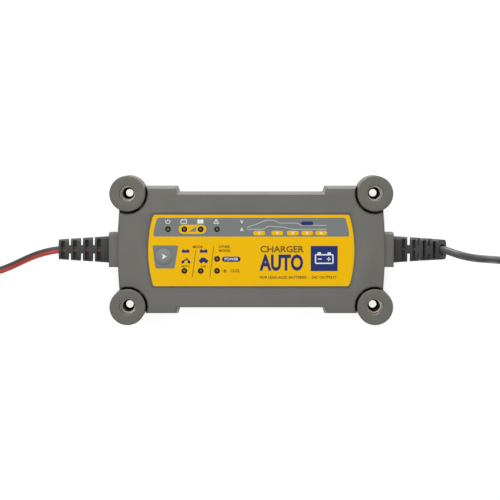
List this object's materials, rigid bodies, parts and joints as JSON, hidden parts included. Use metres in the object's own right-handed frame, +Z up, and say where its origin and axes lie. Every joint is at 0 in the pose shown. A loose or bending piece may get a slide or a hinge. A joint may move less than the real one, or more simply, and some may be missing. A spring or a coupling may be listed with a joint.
{
  "type": "car battery charger",
  "caption": "Slim sealed battery charger with round corner bumpers, a yellow printed panel with indicator lights and a mode button, a mains lead with plug and a battery lead with clamps.",
  "frame": {"origin": "on the ground under the middle of the case, which lies on its back with the label up", "axes": "+X along the case towards the mains lead, +Y across it towards the top edge of the label, +Z up out of the label"},
  "size_m": [0.5378, 0.1427, 0.05],
  "materials": {
    "case_plastic": "fine moulded texture",
    "bumper_plastic": "fine moulded texture, a little lighter than the case",
    "seal_rubber": "matt",
    "label_film": "satin printed film",
    "button_film": "satin",
    "lens": "clear over a dark recess",
    "board": "solder mask",
    "black_plastic": "satin",
    "boot_rubber": "matt",
    "cable_rubber": "satin",
    "red_cable": "satin",
    "red_plastic": "satin",
    "ferrite": "matt",
    "winding_tape": "satin",
    "copper_wire": "lacquered",
    "aluminium": "extruded",
    "can_sleeve": "shrunk sleeve",
    "terminal_plastic": "satin",
    "fuse_glass": "clear",
    "zinc_steel": "zinc plated",
    "plated_brass": "nickel plated"
  },
  "bodies": {
    "root": {"front_cover": "case_plastic", "back_cover": "case_plastic", "upper_case_seal": "seal_rubber", "lower_case_seal": "seal_rubber", "case_screw_1": "zinc_steel", "case_screw_2": "zinc_steel", "case_screw_3": "zinc_steel", "case_screw_4": "zinc_steel", "corner_bumper_1": "bumper_plastic", "corner_bumper_2": "bumper_plastic", "corner_bumper_3": "bumper_plastic", "corner_bumper_4": "bumper_plastic", "label_overlay": "label_film", "control_board": "board", "led_power": "lens", "led_charging": "lens", "led_charged": "lens", "led_fault": "lens", "led_supply": "lens", "led_motorcycle": "lens", "led_car": "lens", "led_winter": "lens", "tact_switch": "black_plastic", "main_board": "board", "transformer_core": "ferrite", "transformer_winding": "winding_tape", "mains_capacitor": "can_sleeve", "output_capacitor": "can_sleeve", "heat_sink": "aluminium", "power_transistor": "black_plastic", "output_diode": "black_plastic", "output_choke": "copper_wire", "mains_fuse": "fuse_glass", "mains_terminal": "terminal_plastic", "output_terminal": "terminal_plastic", "board_link": "black_plastic", "board_screw_1": "zinc_steel", "board_screw_2": "zinc_steel", "mains_lead_boot": "boot_rubber", "battery_lead_boot": "boot_rubber", "mains_lead": "cable_rubber", "mains_lead_coil": "cable_rubber", "battery_lead": "cable_rubber", "battery_lead_coil": "cable_rubber", "red_clamp_wire": "red_cable", "black_clamp_wire": "cable_rubber", "splitter_sleeve": "cable_rubber", "mains_plug_body": "black_plastic", "mains_plug_pin_1": "plated_brass", "mains_plug_pin_2": "plated_brass", "red_clamp_fixed_half": "red_plastic", "red_clamp_spring": "zinc_steel", "red_clamp_pin": "zinc_steel", "black_clamp_fixed_half": "black_plastic", "black_clamp_spring": "zinc_steel", "black_clamp_pin": "zinc_steel"},
    "mode_button": {"mode_button": "button_film", "switch_plunger": "black_plastic"},
    "red_clamp_jaw": {"red_clamp_moving_half": "red_plastic"},
    "black_clamp_jaw": {"black_clamp_moving_half": "black_plastic"}
  },
  "joints": [
    {"name": "mode_button_press", "type": "slide", "parent": "root", "child": "mode_button", "axis": [0, 0, -1], "range_m": [0, 0.0005], "stiffness_N_per_m": 4000, "springref_m": -0.0002},
    {"name": "red_clamp_pivot", "type": "hinge", "parent": "root", "child": "red_clamp_jaw", "pos_m": [-0.239, 0.017, 0.0062], "axis": [0, 0, -1], "range_deg": [0, 24], "stiffness_Nm_per_rad": 0.35, "springref_deg": -14.32, "deforming": ["red_clamp_spring"]},
    {"name": "black_clamp_pivot", "type": "hinge", "parent": "root", "child": "black_clamp_jaw", "pos_m": [-0.239, 0.046, 0.0062], "axis": [0, 0, -1], "range_deg": [0, 24], "stiffness_Nm_per_rad": 0.35, "springref_deg": -14.32, "deforming": ["black_clamp_spring"]}
  ]
}
